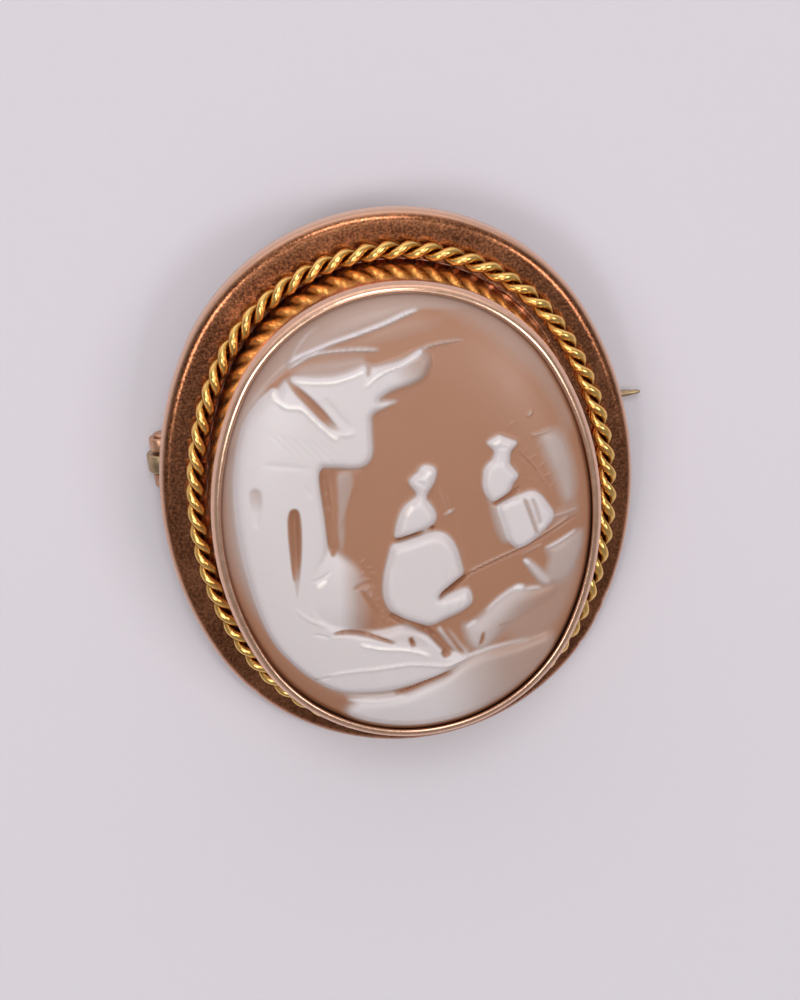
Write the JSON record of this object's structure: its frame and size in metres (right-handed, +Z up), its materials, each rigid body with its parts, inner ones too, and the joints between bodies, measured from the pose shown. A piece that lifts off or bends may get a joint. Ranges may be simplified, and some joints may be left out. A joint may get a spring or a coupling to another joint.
{
  "type": "cameo brooch",
  "caption": "Oval cameo brooch: a carved shell cameo in a raised collar, a twisted wire round it on a wide flange, and a hinged pin with a C catch behind.",
  "frame": {"origin": "on the table, under the middle of the brooch's box", "axes": "+X along the pin from its hinge to its point, +Y towards the brooch's top, +Z up from the table; the face leans towards -Y by the tilt at which the brooch lies on its pin head, catch and lower rim"},
  "size_m": [0.032, 0.0356, 0.0129],
  "materials": {
    "rose_gold": "polished rose gold, fine pitting on the flange",
    "yellow_gold": "polished yellow gold wire",
    "shell": "carved shell, white layer over peach brown, satin",
    "pin_metal": "drawn base metal wire, dull"
  },
  "bodies": {
    "brooch_body": {"frame": "rose_gold", "rope_strand_1": "yellow_gold", "rope_strand_2": "yellow_gold", "cameo": "shell", "hinge_rivet": "rose_gold"},
    "pin_body": {"pin": "pin_metal"}
  },
  "joints": [
    {"name": "pin_swing", "type": "hinge", "parent": "brooch_body", "child": "pin_body", "pos_m": [-0.01495, 0.0032, 0.00116], "axis": [0, 0.9896, 0.1437], "range_deg": [0, 90]}
  ]
}
